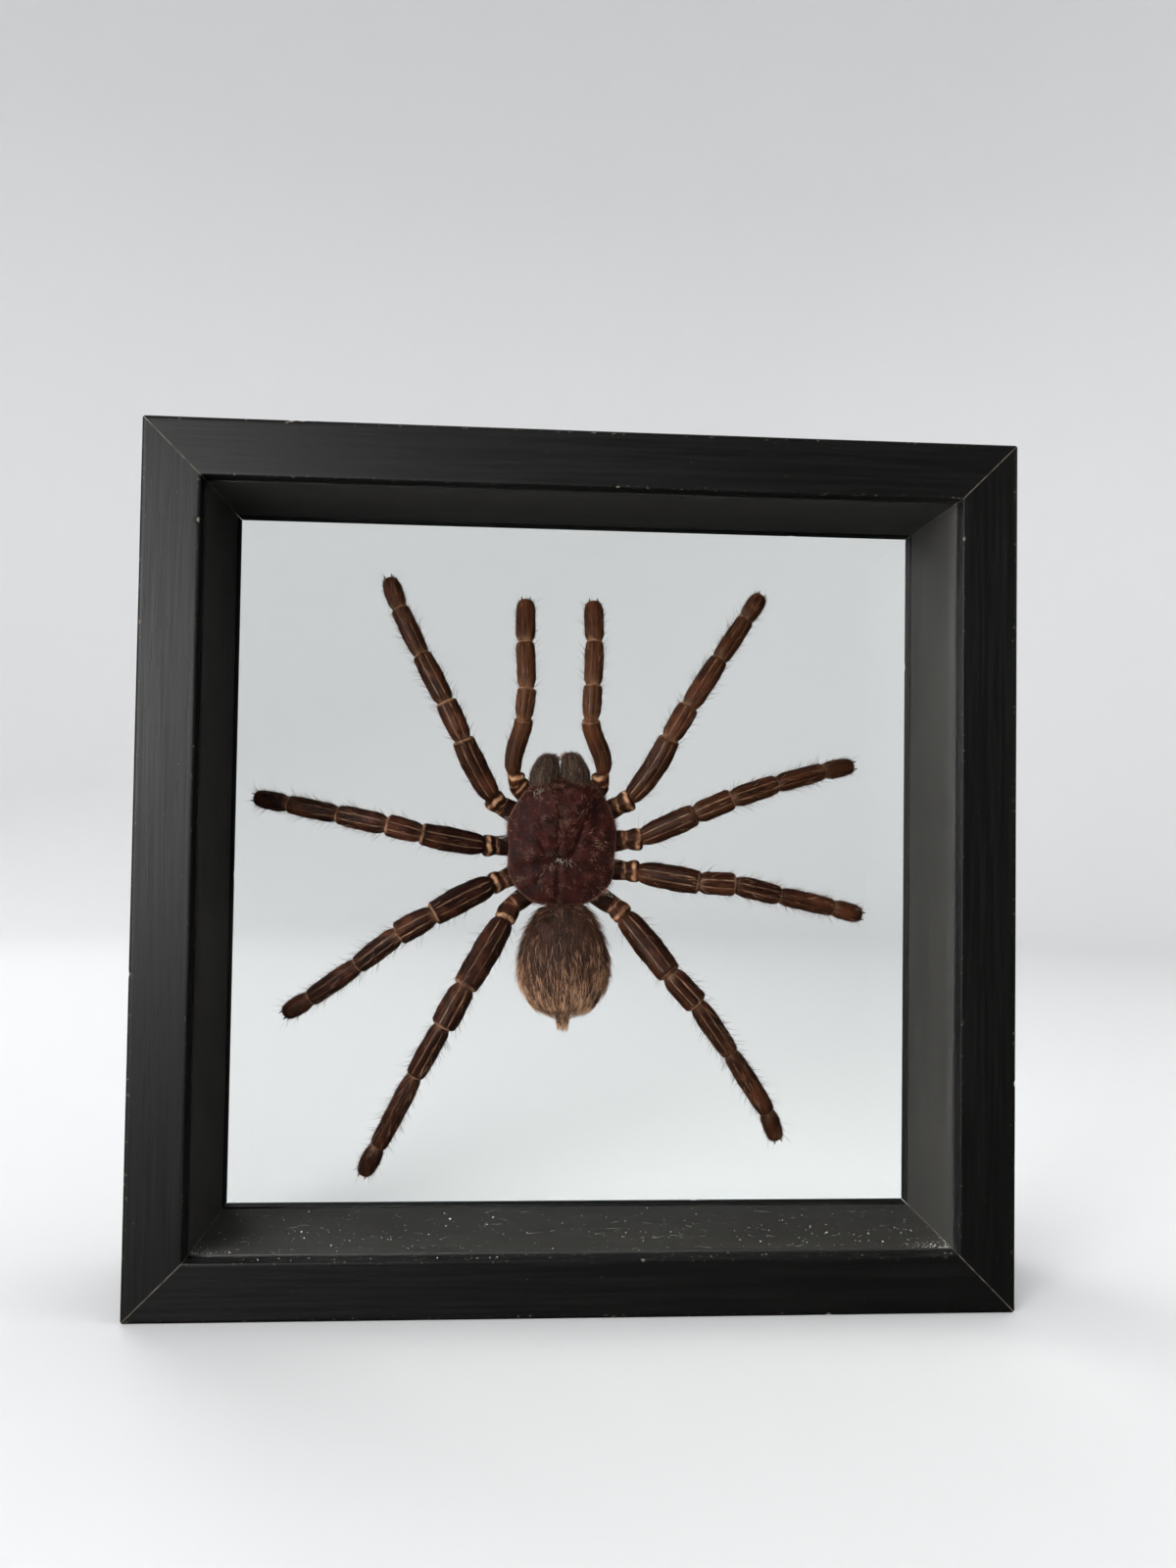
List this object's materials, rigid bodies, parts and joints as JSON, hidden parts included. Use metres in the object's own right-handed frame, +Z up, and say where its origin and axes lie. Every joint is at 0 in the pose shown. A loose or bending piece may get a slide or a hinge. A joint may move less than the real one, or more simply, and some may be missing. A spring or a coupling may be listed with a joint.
{
  "type": "framed tarantula specimen",
  "caption": "Dried tarantula spread flat inside a deep square black wooden frame, glued to the clear rear pane behind a clear front pane, for a shelf or a wall.",
  "frame": {"origin": "centre of the frame's footprint on the surface it stands on", "axes": "+X to the right seen from the front, +Y from the front face to the back face, +Z up"},
  "size_m": [0.25, 0.052, 0.25],
  "materials": {
    "stained_wood": "black stain, satin, faint long grain, worn edges",
    "clear_glass": "clear float glass with a faint green edge",
    "clear_glue": "clear to amber set glue",
    "carapace": "dark mahogany cuticle under fine tan pubescence",
    "abdomen_coat": "dark brown skin under long ginger hairs",
    "jaw_velvet": "greyish brown velvet",
    "leg_cuticle": "reddish brown cuticle, satin, with pale stripes and rings",
    "fang_cuticle": "polished black",
    "hair": "fine ginger and brown hairs",
    "dust": "loose pale specks and fibres"
  },
  "bodies": {
    "root": {"rail_bottom": "stained_wood", "rail_left": "stained_wood", "rail_top": "stained_wood", "rail_right": "stained_wood", "pane_front": "clear_glass", "pane_back": "clear_glass", "glue_pad": "clear_glue", "cephalothorax": "carapace", "abdomen": "abdomen_coat", "chelicera_left": "jaw_velvet", "chelicera_right": "jaw_velvet", "fang_left": "fang_cuticle", "fang_right": "fang_cuticle", "spinneret_left": "abdomen_coat", "spinneret_right": "abdomen_coat", "pedipalp_left": "leg_cuticle", "pedipalp_right": "leg_cuticle", "leg_left_1": "leg_cuticle", "leg_left_2": "leg_cuticle", "leg_left_3": "leg_cuticle", "leg_left_4": "leg_cuticle", "leg_right_1": "leg_cuticle", "leg_right_2": "leg_cuticle", "leg_right_3": "leg_cuticle", "leg_right_4": "leg_cuticle"}
  },
  "joints": []
}
